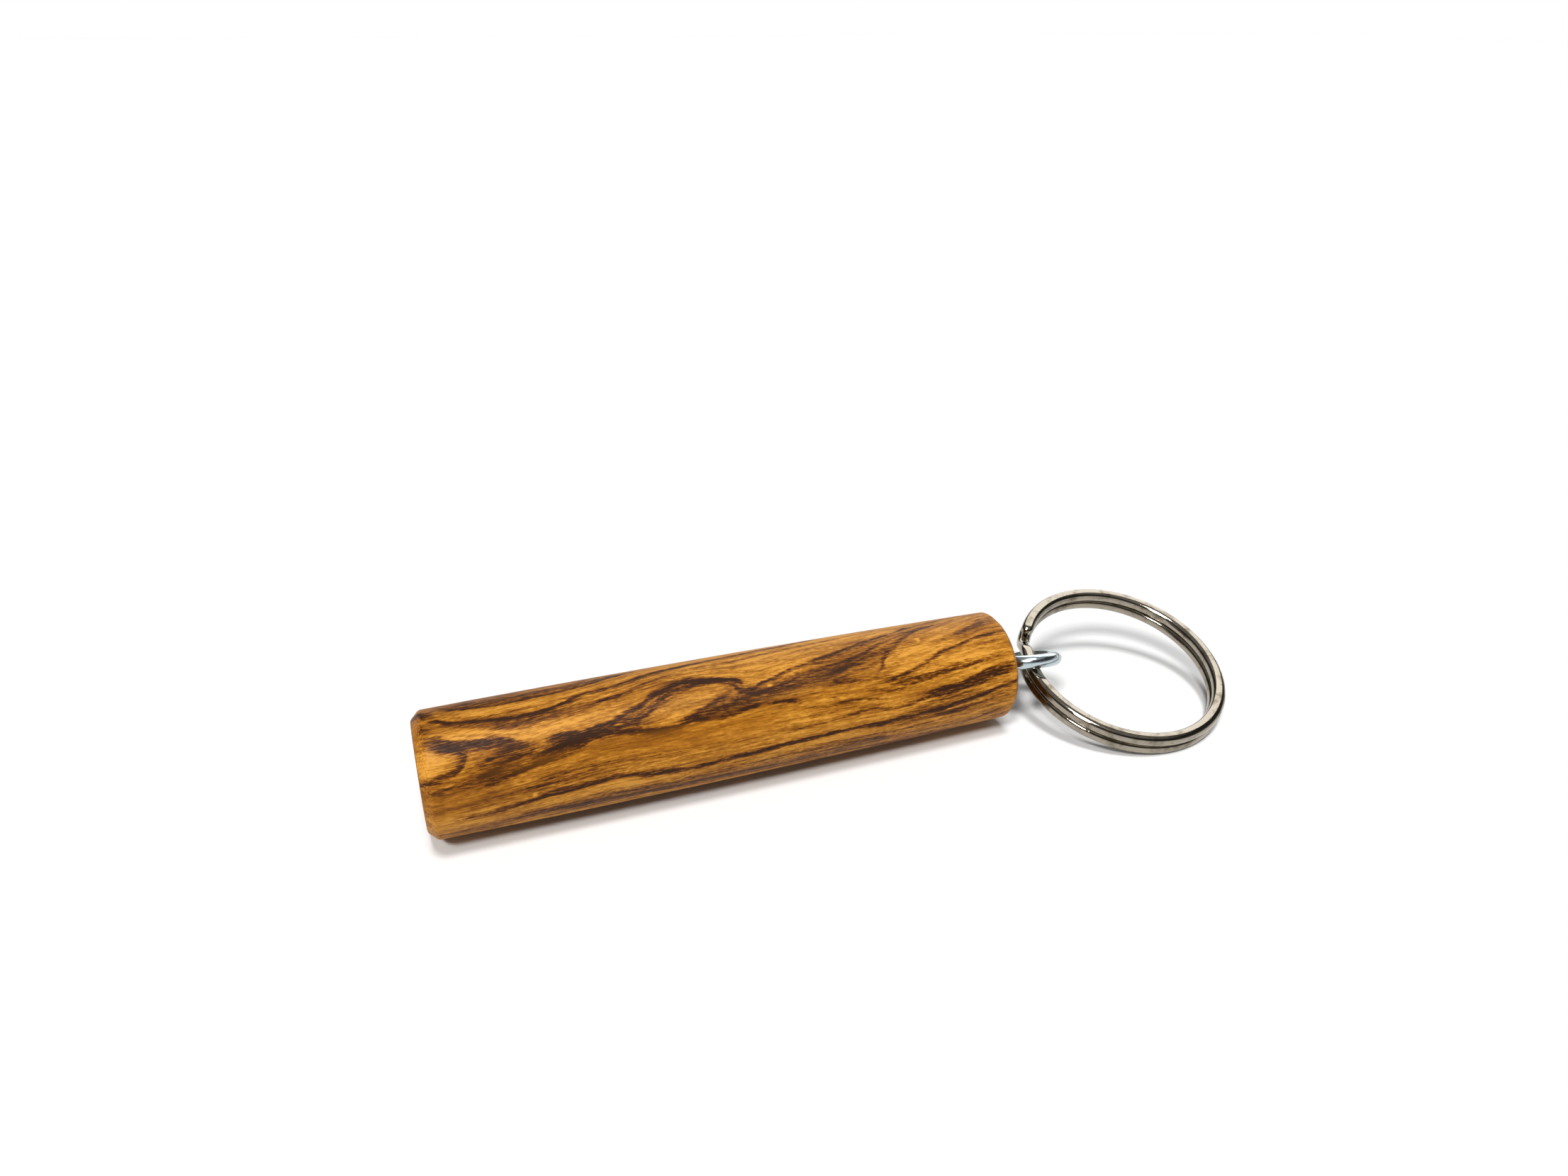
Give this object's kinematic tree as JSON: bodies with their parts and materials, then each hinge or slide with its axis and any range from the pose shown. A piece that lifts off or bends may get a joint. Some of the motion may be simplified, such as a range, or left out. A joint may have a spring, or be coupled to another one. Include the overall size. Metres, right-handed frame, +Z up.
{
  "type": "keychain",
  "caption": "Key fob: a turned wooden barrel with a screw eye in its end and a split ring that swings in the eye and holds keys.",
  "frame": {"origin": "centre of the fob's free end face, on the fob's axis", "axes": "+X along the fob towards the screw eye and the ring, +Z up from the surface that the fob lies on, +Y to the side that the ring leans away from"},
  "size_m": [0.1119, 0.0292, 0.016],
  "materials": {
    "olive_wood": "oiled satin",
    "zinc_plated_steel": "bright, slightly pitted",
    "nickel_plated_steel": "polished, worn"
  },
  "bodies": {
    "fob": {"wood_fob": "olive_wood", "screw_eye": "zinc_plated_steel"},
    "ring": {"split_ring": "nickel_plated_steel"}
  },
  "joints": [
    {"name": "ring_swing", "type": "hinge", "parent": "fob", "child": "ring", "pos_m": [0.08337, 0.0001, -0.00052], "axis": [-0.2816, -0.9207, -0.2702], "range_deg": [-135, 135]}
  ]
}
